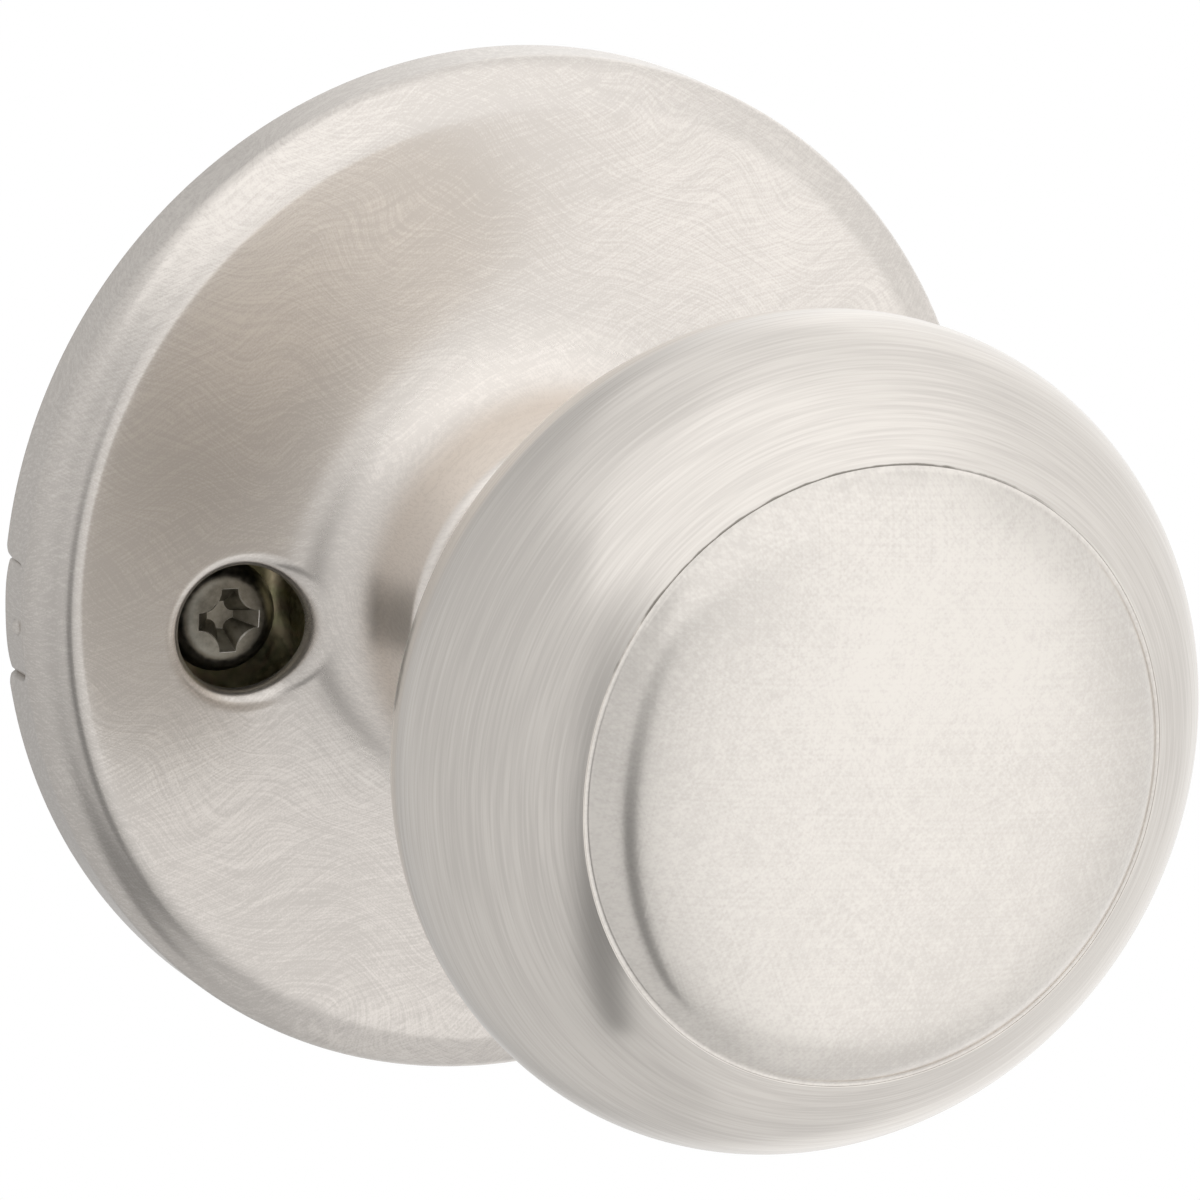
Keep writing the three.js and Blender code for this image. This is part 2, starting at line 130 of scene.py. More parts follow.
def bend(p0, p1, p2, p3, steps):
    """Points of a cubic Bezier curve."""
    points = []
    for i in range(steps + 1):
        t = i / steps
        w = ((1 - t) ** 3, 3 * t * (1 - t) ** 2, 3 * t * t * (1 - t), t**3)
        points.append(tuple(sum(k * p[axis] for k, p in zip(w, (p0, p1, p2, p3))) for axis in (0, 1)))
    return points


def arc(centre, wide, deep, start, end, steps):
    """Part of an ellipse, from one angle to another in degrees."""
    angles = [math.radians(start + (end - start) * i / steps) for i in range(steps + 1)]
    return [(centre[0] + wide * math.cos(a), centre[1] + deep * math.sin(a)) for a in angles]


def rounded(corners, steps=3):
    """A closed outline whose corners, given as (radius, depth, rounding), are rounded off."""
    outline = []
    for i, (r, d, size) in enumerate(corners):
        here = Vector((r, d))
        if size == 0:
            outline.append((r, d))
            continue
        before = (Vector(corners[i - 1][:2]) - here).normalized()
        after = (Vector(corners[(i + 1) % len(corners)][:2]) - here).normalized()
        start, end = here + before * size, here + after * size
        for k in range(steps + 1):
            t = k / steps
            outline.append(tuple(start * (1 - t) ** 2 + here * 2 * t * (1 - t) + end * t * t))
    return outline


# ---- Meshes
SHARP = math.radians(38)  # an edge that turns further than this is shaded sharp, or is rounded


def place(radius, depth, angle):
    """The point in metres at a radius, a depth and an angle round the knob's axis."""
    return Vector((radius * math.cos(angle), -depth, radius * math.sin(angle))) * MM


def smooth(bm, name):
    """Makes a mesh of a bmesh, shaded smooth but for its sharp edges."""
    bmesh.ops.recalc_face_normals(bm, faces=bm.faces)
    for face in bm.faces:
        face.smooth = True
    for edge in bm.edges:
        edge.smooth = edge.is_manifold and edge.calc_face_angle(0) < SHARP
    mesh = bpy.data.meshes.new(name)
    bm.to_mesh(mesh)
    bm.free()
    return mesh


def piece(name, bm, body, slot, materials, *nodes):
    """An object that rides on a body, takes the given materials and stands for CAD nodes, which it hides.
    Its slot is not used.
    """
    obj = bpy.data.objects.new(name, smooth(bm, name))
    bpy.context.scene.collection.objects.link(obj)
    for material in materials:
        obj.data.materials.append(material)
    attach(obj, body)
    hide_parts(*nodes)
    return obj


def carve(bm, cutter):
    """Cuts one closed bmesh out of another and gives the rest as a new bmesh."""
    scene = bpy.context.scene.collection
    whole, knife = (bpy.data.objects.new("carve", smooth(part, "carve")) for part in (bm, cutter))
    for obj in (whole, knife):
        scene.objects.link(obj)
    cut = whole.modifiers.new("cut", "BOOLEAN")
    cut.object = knife
    cut.operation = "DIFFERENCE"
    cut.solver = "EXACT"
    result = bmesh.new()
    result.from_object(whole, bpy.context.evaluated_depsgraph_get())
    for obj in (whole, knife):
        bpy.data.meshes.remove(obj.data)
    return result


def prism(sections):
    """A closed bmesh lofted through rings of points in metres, with its two ends filled."""
    bm = bmesh.new()
    rings = [[bm.verts.new(point) for point in section] for section in sections]
    count = len(rings[0])
    for a, b in zip(rings, rings[1:]):
        for k in range(count):
            n = (k + 1) % count
            bm.faces.new([a[k], a[n], b[n], b[k]])
    ends = [bm.faces.new(rings[0]), bm.faces.new(rings[-1])]
    bmesh.ops.triangulate(bm, faces=ends)
    bmesh.ops.recalc_face_normals(bm, faces=bm.faces)
    return bm


def join(*parts):
    """Puts several bmeshes into the first."""
    for part in parts[1:]:
        mesh = bpy.data.meshes.new("part")
        part.to_mesh(mesh)
        part.free()
        parts[0].from_mesh(mesh)
        bpy.data.meshes.remove(mesh)
    return parts[0]


def box(x, depth, z):
    """A box between two values of x, two depths and two values of z."""
    ring = [(x[0], z[0]), (x[1], z[0]), (x[1], z[1]), (x[0], z[1])]
    return prism([[Vector((a, -d, b)) * MM for a, b in ring] for d in depth])


def rod(radius, depths, centre, segments=32):
    """A plain cylinder along Y, to drill holes with."""
    turn = 2 * math.pi / segments
    middle = Vector((centre[0], 0, centre[1])) * MM
    return prism([[place(radius, d, turn * k) + middle for k in range(segments)] for d in depths])


def rivet_spot(angle):
    a = math.radians(angle)
    return (RIVET_CIRCLE * math.cos(a), RIVET_CIRCLE * math.sin(a))


def spin(outline, segments, centre=(0.0, 0.0), relief=None):
    """Turns an outline round an axis along Y. Points on the axis become one vertex.

    An outline that leaves the axis open is closed on itself. Relief gives the radius at a radius, a depth
    and an angle, for forms that aren't quite round.
    """
    bm = bmesh.new()
    offset = Vector((centre[0], 0, centre[1])) * MM
    turns = [2 * math.pi * k / segments for k in range(segments)]
    rings = []
    for r, d in outline:
        if r < 1e-6:
            rings.append([bm.verts.new(place(0, d, 0) + offset)] * segments)
        else:
            radii = [relief(r, d, a) if relief else r for a in turns]
            rings.append([bm.verts.new(place(radius, d, a) + offset) for radius, a in zip(radii, turns)])
    pairs = list(zip(rings, rings[1:]))
    if outline[0][0] > 1e-6:
        pairs.append((rings[-1], rings[0]))
    for a, b in pairs:
        for k in range(segments):
            corners = [a[k], a[(k + 1) % segments], b[(k + 1) % segments], b[k]]
            unique = list(dict.fromkeys(corners))
            if len(unique) > 2:
                bm.faces.new(unique)
    return bm


# ---- The rose
GROOVE_SHADE = 0.6  # how dark the painted shade in the groove round the notch is, from 0 to 1


def notch_relief(along, depth):
    """How far the rim's wall is pressed in at a place along the rim, and how much of it is the groove.

    Along is measured in millimetres from the notch's middle. The groove is given as a share, from 0 to 1.
    """
    side = abs(along)
    over = side - (NOTCH_HALF - NOTCH_CORNER)
    out = depth - (NOTCH_DEPTH - NOTCH_CORNER)
    border = math.hypot(max(over, 0), max(out, 0)) + min(max(over, out), 0) - NOTCH_CORNER
    inside = min(max(0.5 - border / 0.12, 0), 1)
    # The panel inside the groove lies deeper towards its two sides, and the rim beside it bends in a
    # little at the cut edge.
    panel = inside * (0.1 + 0.22 * min(side / NOTCH_HALF, 1) ** 4)
    beside = max(1 - max(side - NOTCH_HALF, 0) / 0.9, 0) ** 2
    ends = (1 - inside) * 0.3 * beside * max(1 - depth / 1.1, 0)
    groove = math.exp(-((border / GROOVE_HALF) ** 2))
    off_pip = math.hypot(along - PIP[0], (depth - PIP[1]) * 1.2)
    pip = PIP_HEIGHT * max(1 - (off_pip / PIP_RADIUS) ** 2, 0) ** 0.6
    return panel + GROOVE_DEPTH * groove + ends - pip, groove


def rose_outline():
    """The sheet's outer side, from its cut edge at the door to the hub's mouth."""
    curl = 0.12  # radius of the cut edge
    fine_wall = 1.1  # the rows of the wall are close together from here on, for the notch
    wall_top = (ROSE_RADIUS, ROSE_WALL + 0.2)
    rim_end = (SHOULDER[0] + 0.65, SHOULDER[1] - 0.44)
    face = skirt(50)[1:]
    before_face = (face[0][0] + 0.5, face[0][1] - 0.01)
    lip = HUB_RADIUS - HUB_MOUTH
    return chain(
        arc((ROSE_RADIUS - curl, curl), curl, curl, -80, 0, 5),
        line((ROSE_RADIUS, curl), (ROSE_RADIUS, fine_wall), 6),
        line((ROSE_RADIUS, fine_wall), wall_top, 21),
        bend(wall_top, (ROSE_RADIUS, ROSE_WALL + 1.1), (31.4, 4.6), rim_end, 14),
        bend(rim_end, (rim_end[0] - 0.3, rim_end[1] + 0.21), before_face, face[0], 9),
        face,
        line((HUB_RADIUS, SWEEP_END), (HUB_RADIUS, HUB_DEPTH - lip), 5),
        arc((HUB_MOUTH, HUB_DEPTH - lip), lip, lip, 0, 90, 8),
    )


def skirt(steps):
    """The almost flat face from the rose's shoulder, and the concave sweep from it up to the hub."""
    face = (SHOULDER[0] - 9, SHOULDER[1] + 0.25)
    return bend(SHOULDER, face, (HUB_RADIUS, SHOULDER[1] + 0.4), (HUB_RADIUS, SWEEP_END), steps)


def rose_angles():
    """The angles of the rose's grid: even steps, but for much finer ones round the notch."""
    reach = 4.8  # the fine steps go this far to both sides of the notch's middle
    fine = [NOTCH_ANGLE + z / ROSE_RADIUS for z in np.arange(-reach, reach, 0.1)]
    coarse = [math.radians(1.5 * k) for k in range(240)]
    free = [a for a in coarse if not min(fine) - 0.01 < a < max(fine) + 0.01]
    return sorted(free + fine)


def fill_to_hole(bm, border, side):
    """Fills a patch from its border to the access hole, with the sheet's edge rolled in round the hole."""
    radii, depths = zip(*sorted(skirt(800)))
    middle = Vector((SCREW_OFFSET * math.cos(side), 0))
    spokes = [Vector((v.co.x, v.co.z)) / MM - middle for v in border]
    rings = [(t / 10, ACCESS_HOLE + HOLE_ROUND, 0) for t in range(1, 11)]
    for k in range(1, 10):
        a = math.pi / 2 * k / 9
        rings.append((1, ACCESS_HOLE + HOLE_ROUND * (1 - math.sin(a)), HOLE_ROUND * (1 - math.cos(a))))
    rings.append((1, ACCESS_HOLE, HOLE_COLLAR))
    loop = border
    for blend, hole, drop in rings:
        inner = []
        for spoke in spokes:
            at = middle + spoke * (1 - blend) + spoke.normalized() * hole * blend
            depth = float(np.interp(at.length, radii, depths)) - drop
            inner.append(bm.verts.new(Vector((at.x, -depth, at.y)) * MM))
        for k in range(len(loop)):
            n = (k + 1) % len(loop)
            bm.faces.new([loop[k], loop[n], inner[n], inner[k]])
        loop = inner


def rose():
    """A polar grid with a round patch of its own for each access hole, then given the sheet's thickness."""
    outline = rose_outline()
    angles = rose_angles()
    count = len(angles)
    bm = bmesh.new()
    # The groove layer holds painted shade for the groove round the notch.
    groove_shades = bm.verts.layers.float.new("groove")
    grid = {}

    def vertex(i, j):
        j %= count
        if (i, j) not in grid:
            r, d = outline[i]
            pressed, groove = 0, 0
            if d < SHOULDER[1] and r > SHOULDER[0]:
                pressed, groove = notch_relief(ROSE_RADIUS * (NOTCH_ANGLE - angles[j]), d)
            grid[i, j] = bm.verts.new(place(r - pressed, d, angles[j]))
            grid[i, j][groove_shades] = GROOVE_SHADE * groove
        return grid[i, j]

    # The rows and columns of the grid that each access hole's patch takes the place of.
    clear = ACCESS_HOLE + HOLE_ROUND + 0.6
    half_angle = math.asin(clear / SCREW_OFFSET)
    first = max(i for i, (r, d) in enumerate(outline) if r >= SCREW_OFFSET + clear)
    last = min(i for i, (r, d) in enumerate(outline) if r <= SCREW_OFFSET - clear)
    patches = []
    for side in (0.0, math.pi):
        away = [math.remainder(a - side, 2 * math.pi) for a in angles]
        start = min((j for j in range(count) if away[j] >= -half_angle), key=lambda j: away[j])
        end = max((j for j in range(count) if away[j] <= half_angle), key=lambda j: away[j])
        patches.append((side, start, end if end > start else end + count))

    def in_patch(i, j):
        return any(
            first <= i < last and (start <= j < end or start <= j + count < end)
            for _, start, end in patches
        )

    for i in range(len(outline) - 1):
        for j in range(count):
            if not in_patch(i, j):
                bm.faces.new([vertex(i, j), vertex(i, j + 1), vertex(i + 1, j + 1), vertex(i + 1, j)])

    for side, start, end in patches:
        border = [vertex(first, j) for j in range(start, end)]
        border += [vertex(i, end) for i in range(first, last)]
        border += [vertex(last, j) for j in range(end, start, -1)]
        border += [vertex(i, start) for i in range(last, first, -1)]
        fill_to_hole(bm, border, side)

    bmesh.ops.recalc_face_normals(bm, faces=bm.faces)
    if max(bm.faces, key=lambda f: f.calc_area()).normal.y > 0:
        bmesh.ops.reverse_faces(bm, faces=bm.faces)
    bmesh.ops.solidify(bm, geom=list(bm.faces), thickness=SHEET * MM)
    return bm


# ---- The hollow knob: a spun shell, and a front cap that is set into its mouth
def knob_shell():
    """The bulb and its neck. The outline runs over the outer side and comes back up the inner side."""
    mouth = [(MOUTH, MOUTH_DEPTH - 0.9), (MOUTH, MOUTH_DEPTH - 0.2), (MOUTH, MOUTH_DEPTH)]
    mouth += [(MOUTH + 0.005, MOUTH_DEPTH + 0.012), (MOUTH + 0.02, MOUTH_DEPTH + 0.017)]
    bulb = arc((0, BULB_DEPTH), KNOB_RADIUS, BULB_HALF, 42.8, -30, 80)
    edge = bulb[-1]
    back = bend(edge, (edge[0] - 1.5, edge[1] - 1.5), (BACK[0] + 2.6, BACK[1] + 1), BACK, 16)
    neck_top = (NECK_RADIUS, NECK_TOP)
    neck = bend(BACK, (BACK[0] - 3.1, BACK[1] - 1.05), (NECK_RADIUS, NECK_TOP + 2.8), neck_top, 24)
    tail = chain(line(neck_top, (NECK_RADIUS, NECK_END + 0.1), 8), [(NECK_RADIUS - 0.1, NECK_END)])
    bore = NECK_RADIUS - SHEET
    inside = [(bore, NECK_END), (bore, 30.2), (10.8, 32.1), (13.5, 33.9), (15.7, 34.65)]
    inside += [(20.2, 37.0), (23.0, 40.0), (24.45, 44.6), (23.4, 49.0), (19.6, 53.2)]
    return spin(chain(mouth, bulb, back, neck, tail, inside), 256)


def knob_face():
    """The front cap: a low dome that drops into the valley, and a rim that is snug in the shell's mouth."""
    shoulder = (SKIRT[0] - 1.2, KNOB_DEPTH - 2.3)
    dome = bend((0, KNOB_DEPTH), (SKIRT[0] - 2.6, KNOB_DEPTH), shoulder, SKIRT, 60)
    snug = MOUTH - 0.01
    rim = [(18.36, MOUTH_DEPTH + 0.015), (snug - 0.02, MOUTH_DEPTH), (snug - 0.005, MOUTH_DEPTH - 0.003)]
    rim += [(snug, MOUTH_DEPTH - 0.015), (snug, MOUTH_DEPTH - 0.2), (snug, 53.4)]
    rim += [(19.1, 52.6), (19.1, 52.0)]
    behind = [(17.4, 52.0), (17.4, 54.6), (15.6, 56.6), (13.0, 57.4), (6, 57.65), (0, 57.7)]
    return spin(chain(dome, rim, behind), 256)


# ---- The screws
def screw(side):
    """A pan-head machine screw with a thread and a cross recess."""
    head_round = (HEAD_RADIUS - HEAD_ROUND, HEAD_SEAT + 0.7)
    crown = arc(head_round, HEAD_ROUND, HEAD_TOP - 0.12 - head_round[1], 0, 80, 10)
    head = chain([(HEAD_RADIUS - 0.15, HEAD_SEAT), (HEAD_RADIUS, HEAD_SEAT + 0.15)], crown)
    top = bend(crown[-1], (1.6, HEAD_TOP - 0.04), (0.9, HEAD_TOP), (0, HEAD_TOP), 5)
    thread_start, thread_end = SCREW_TIP + 0.7, HEAD_SEAT - 1.6
    rows = round((thread_end - thread_start) / THREAD_PITCH * 8)
    shank = line((SCREW_RADIUS, thread_start), (SCREW_RADIUS, thread_end), rows)
    tip = [(0, SCREW_TIP), (SCREW_RADIUS - 0.6, SCREW_TIP)]
    neck = [(SCREW_RADIUS - 0.15, HEAD_SEAT)]
    fade_length = 1.2  # the thread runs out over this length under the head

    def thread(radius, depth, angle):
        if not thread_start <= depth <= thread_end:
            return radius
        turn = (depth / THREAD_PITCH + angle / (2 * math.pi)) % 1
        fade = min(1, (thread_end - depth) / fade_length)
        return radius - THREAD_DEPTH * fade * abs(2 * turn - 1) - 0.02

    centre = (side * SCREW_OFFSET, 0)
    body = spin(chain(tip, shank, neck, head, top), 32, centre, thread)
    return carve(body, recess_cutter(centre))


def recess_cutter(centre):
    """A cross that tapers down into the screw's head, under a wider flare that cuts the worn chamfer."""
    arm = 2.05
    half_width = 0.55
    quarter = bend((arm, half_width), (1.25, 0.5), (0.5, 1.25), (half_width, arm), 7)
    star = []
    for k in range(4):
        a = math.radians(90 * k - RECESS_TURN)
        star += [(x * math.cos(a) - z * math.sin(a), x * math.sin(a) + z * math.cos(a)) for x, z in quarter]
    sections = []
    for depth, scale in ((HEAD_TOP + 0.5, 1.35), (RECESS_EDGE, 0.97), (HEAD_TOP - RECESS_DEPTH, 0.42)):
        sections.append([Vector((centre[0] + x * scale, -depth, z * scale)) * MM for x, z in star])
    return prism(sections)


# ---- The mounting plate and what is riveted to it
def mounting_plate():
    """A disc on the door's face with a raised middle, which the knob's bushing is held in."""
    edge = ROSE_RADIUS - SHEET - 0.3
    bore = 9.4
    under = DISH_DEPTH - PLATE
    dish = rounded([
        (edge, 0, 0.25),
        (edge, PLATE, 0.25),
        (14.5, PLATE, 1.3),
        (13.2, DISH_DEPTH, 0.9),
        (bore, DISH_DEPTH, 0.15),
        (bore, under, 0.1),
        (12.1, under, 0.5),
        (13.1, 0, 0.9),
    ], 5)
    drills = [rod(SCREW_RADIUS + 0.3, (-1, 3), (side * SCREW_OFFSET, 0)) for side in (-1, 1)]
    drills += [rod(RIVET_HOLE, (5, 10), rivet_spot(angle), 20) for angle in RIVET_ANGLES]
    return carve(spin(dish, 192), join(*drills))


def spring_cover():
    """The ring behind the return spring, with the fixed lug between the spring's legs."""
    inner = 6.0
    outer = 12.5
    back = -0.7
    front = 0.1
    ring = rounded([(inner, back, 0.15), (outer, back, 0.25), (outer, front, 0.15), (inner, front, 0.1)])
    drills = [rod(RIVET_HOLE, (-2, 2), rivet_spot(angle), 20) for angle in RIVET_ANGLES]
    cover = carve(spin(ring, 128), join(*drills))
    lug = box((-2.2, 2.2), (-0.3, 4.8), (-12.05, -11.25))
    return join(cover, lug)


def cover_rivet(angle):
    """A rivet with a head at each end, and a thicker spacer between the cover and the plate."""
    stem = 0.6
    spacer = 0.9
    head = 1.15
    rear = [(0, -1.15), (stem, -1.12), (0.95, -1.0), (head, -0.75), (stem, -0.75)]
    middle = [(stem, 0.15), (spacer, 0.15), (spacer, 7.15), (stem, 7.15)]
    front = [(stem, 8.45), (head, 8.45), (0.95, 8.7), (stem, 8.82), (0, 8.85)]
    return spin(rear + middle + front, 32, rivet_spot(angle))


# ---- Shank and spindle
def knob_shank():
    """A steel tube flared over the knob's core, with a groove for the retaining ring and a keyway."""
    end = 0.5
    groove = (4.95, 5.85)
    groove_floor = SHANK_RADIUS - 0.65
    flare = (31.2, 32.4)
    flare_radius = 9.0
    outline = rounded([
        (SHANK_BORE, end, 0.2),
        (SHANK_RADIUS, end, 0.2),
        (SHANK_RADIUS, groove[0], 0),
        (groove_floor, groove[0], 0),
        (groove_floor, groove[1], 0),
        (SHANK_RADIUS, groove[1], 0),
        (SHANK_RADIUS, flare[0], 0),
        (flare_radius, flare[0], 0),
        (flare_radius, flare[1], 0.2),
        (SHANK_BORE, flare[1], 0.2),
    ])
    keyway = box((-0.8, 0.8), (-1, 7.0), (7.2, 9))
    return carve(spin(outline, 96), keyway)


def spindle():
    """A half-round bar, scored across its flat so that it snaps to length."""
    corner = 0.25
    ends = (math.pi * 1.02, math.pi * 1.98)
    under = [ends[0] + (ends[1] - ends[0]) * k / 40 for k in range(41)]
    shape = [(SPINDLE_RADIUS * math.cos(a), SPINDLE_RADIUS * math.sin(a)) for a in under]
    shape += [(SPINDLE_RADIUS - corner, 0), (corner - SPINDLE_RADIUS, 0)]
    sections = []
    for depth, scale in (
        (SPINDLE_ENDS[0], 0.92),
        (SPINDLE_ENDS[0] + 0.35, 1),
        (SPINDLE_ENDS[1] - 0.35, 1),
        (SPINDLE_ENDS[1], 0.92),
    ):
        sections.append([Vector((x * scale, -depth, z * scale)) * MM for x, z in shape])
    score_floor = -0.45
    scores = []
    for y in [-1.3, *np.arange(5, -SPINDLE_ENDS[0], SNAP_PITCH)]:
        valley = [(y - 0.34, 0.04), (y - 0.1, score_floor), (y + 0.1, score_floor), (y + 0.34, 0.04)]
        scores.append(prism([[Vector((x, a, b)) * MM for a, b in valley] for x in (-5, 5)]))
    return carve(prism(sections), join(*scores))


# ---- Node materials
def add(tree, kind, inputs=(), out=0, **settings):
    """Adds a shader node, sets its properties and its inputs, and gives one of its outputs."""
    made = tree.nodes.new("ShaderNode" + kind)
    for key, value in settings.items():
        setattr(made, key, value)
    for key, value in dict(inputs).items():
        if isinstance(value, bpy.types.NodeSocket):
            tree.links.new(value, made.inputs[key])
        else:
            made.inputs[key].default_value = value
    return made.outputs[out]


def calc(tree, operation, a, b=0.0):
    return add(tree, "Math", {0: a, 1: b}, operation=operation)


def remap(tree, value, low, high, to_low=0.0, to_high=1.0):
    """A value between low and high becomes one between to_low and to_high, and is held at both ends."""
    inputs = {"Value": value, "From Min": low, "From Max": high, "To Min": to_low, "To Max": to_high}
    return add(tree, "MapRange", inputs)


def tint(tree, factor, a, b):
    return add(tree, "Mix", {0: factor, 6: a, 7: b}, 2, data_type="RGBA")


def noise(tree, vector, scale, detail=2.0, w=None):
    inputs = {"Vector": vector, "Scale": scale, "Detail": detail}
    if w is None:
        return add(tree, "TexNoise", inputs)
    return add(tree, "TexNoise", {**inputs, "W": w}, noise_dimensions="4D")


def stretched(tree, where, size, angle):
    """Noise coordinates turned about Y by degrees, so that its patches are size millimetres long."""
    turn = {"Vector": where, "Rotation": (0, math.radians(angle), 0)}
    turned = add(tree, "Mapping", turn, vector_type="TEXTURE")
    return add(tree, "VectorMath", {0: turned, 1: [1 / s for s in size]}, operation="MULTIPLY")


def blank(name):
    """A new material's tree and the surface's place in millimetres."""
    material = bpy.data.materials.new(name)
    material.use_nodes = True
    tree = material.node_tree
    tree.nodes.clear()
    where = add(tree, "TexCoord", out="Object")
    return material, tree, add(tree, "VectorMath", {0: where, 1: (1000,) * 3}, operation="MULTIPLY")


def bump(tree, height, microns):
    return add(tree, "Bump", {"Height": height, "Strength": 1.0, "Distance": microns * 1e-6})


def principled(tree, colour, roughness, normal, metallic=1.0, **more):
    inputs = {"Base Color": colour, "Roughness": roughness, "Normal": normal, "Metallic": metallic}
    inputs.update({key.replace("_", " "): value for key, value in more.items()})
    return add(tree, "BsdfPrincipled", inputs)


def from_axis(tree, where):
    """A place's x, y and z, its vector across the knob's axis and its distance from that axis."""
    x, y, z = (add(tree, "SeparateXYZ", {0: where}, axis) for axis in "XYZ")
    flat = add(tree, "CombineXYZ", {"X": x, "Z": z})
    radius = add(tree, "VectorMath", {0: flat}, "Value", operation="LENGTH")
    return x, y, z, flat, radius


def output(tree, surface):
    tree.links.new(surface, tree.nodes.new("ShaderNodeOutputMaterial").inputs["Surface"])


# ---- Satin nickel: a sharp and a soft reflection together, under fine brushing
# Tones are a dark and a light colour.
KNOB_TONES = ((0.775, 0.733, 0.686, 1), (0.885, 0.838, 0.783, 1))
# The rose's light tone shows where painted light lifts its top and hub.
ROSE_TONES = ((0.645, 0.607, 0.568, 1), (0.965, 0.907, 0.849, 1))
# The colour that painted shade darkens the nickel towards.
SHADE_COLOUR = (0.30, 0.28, 0.25, 1)


def satin(tree, tones, mark, colour_mark, microns, sharp, soft, share, grime=0.0, **more):
    """The nickel's two reflections, marked by brushing that changes its height, colour and roughness.

    Sharp and soft are the two reflections' roughness, and share is how much of the second there is.
    """
    # Painted shade: the colour is darkened in the rose's groove and in the knob's seam.
    colour = tint(tree, grime, tint(tree, colour_mark, *tones), SHADE_COLOUR)
    normal = bump(tree, mark, microns)
    rough = remap(tree, mark, 0.3, 0.7, 1.15, 0.85)
    lobes = [
        principled(tree, colour, calc(tree, "MULTIPLY", rough, roughness), normal, **more)
        for roughness in (sharp, soft)
    ]
    output(tree, add(tree, "MixShader", {0: share, 1: lobes[0], 2: lobes[1]}))


def around_axis(tree, where, length, width):
    """Coordinates for streaks that run round the knob's axis: a 3-D vector and a fourth value."""
    _, y, _, flat, radius = from_axis(tree, where)
    unit = add(tree, "VectorMath", {0: flat}, operation="NORMALIZE")
    ux, uz = (add(tree, "SeparateXYZ", {0: unit}, axis) for axis in "XZ")
    vector = add(tree, "CombineXYZ", {
        "X": calc(tree, "MULTIPLY", ux, KNOB_RADIUS / length),
        "Y": calc(tree, "MULTIPLY", uz, KNOB_RADIUS / length),
        "Z": calc(tree, "MULTIPLY", radius, 1 / width),
    })
    return vector, calc(tree, "MULTIPLY", y, 1 / width)


def seam_shade(tree, where):
    """Painted shade in the seam between the bulb and the front cap: a thin ragged line, mostly at the upper
    left.
    """
    x, y, z, _, radius = from_axis(tree, where)
    ragged = noise(tree, where, 0.7, 4)
    reach = calc(tree, "ADD", MOUTH - 0.03, calc(tree, "MULTIPLY", ragged, 0.2))
    in_reach = remap(tree, calc(tree, "SUBTRACT", radius, reach), 0.06, 0.0)
    in_front = remap(tree, y, -54.2, -54.4)
    upper_left = calc(tree, "SUBTRACT", z, calc(tree, "MULTIPLY", x, 0.2))
    share = remap(tree, calc(tree, "ADD", upper_left, calc(tree, "MULTIPLY", ragged, 12)), 17, 23)
    return calc(tree, "MULTIPLY", calc(tree, "MULTIPLY", in_reach, in_front), share)


def brushed_round(name):
    """Fine brushing that runs round the knob's axis, on the bulb and its neck."""
    material, tree, where = blank(name)
    fine_vector, fine_w = around_axis(tree, where, 7, 0.16)
    wide_vector, wide_w = around_axis(tree, where, 14, 1.1)
    fine = noise(tree, fine_vector, 1, 2, fine_w)
    wide = noise(tree, wide_vector, 1, 1, wide_w)
    cloud = noise(tree, where, 0.07, 1)
    mark = calc(tree, "ADD", calc(tree, "MULTIPLY", fine, 0.82), calc(tree, "MULTIPLY", wide, 0.18))
    colour_mark = remap(tree, calc(tree, "ADD", mark, calc(tree, "MULTIPLY", cloud, 0.3)), 0.53, 0.77)
    tangent = add(tree, "Tangent", direction_type="RADIAL", axis="Y")
    more = {"Anisotropic": 0.5, "Anisotropic_Rotation": 0.25, "Tangent": tangent}
    # Painted shade in the seam round the front cap.
    more["grime"] = seam_shade(tree, where)
    satin(tree, KNOB_TONES, mark, colour_mark, microns=4.0, sharp=0.16, soft=0.38, share=0.4, **more)
    return material


def hairlines(name):
    """Straight hairlines in many directions, as random sanding leaves them on the knob's front."""
    material, tree, where = blank(name)
    directions = 6
    lines = None
    for k in range(directions):
        vector = stretched(tree, where, (6, 30, 0.16), 31 * k + 11)
        one = noise(tree, add(tree, "VectorMath", {0: vector, 1: (7.3 * k, 0, 0)}), 1, 1)
        lines = one if lines is None else calc(tree, "ADD", lines, one)
    mark = calc(tree, "MULTIPLY", lines, 1 / directions)
    cloud = noise(tree, where, 0.06, 1)
    colour_mark = remap(tree, calc(tree, "ADD", mark, calc(tree, "MULTIPLY", cloud, 0.3)), 0.57, 0.73)
    satin(tree, KNOB_TONES, mark, colour_mark, microns=14.0, sharp=0.17, soft=0.38, share=0.45)
    return material


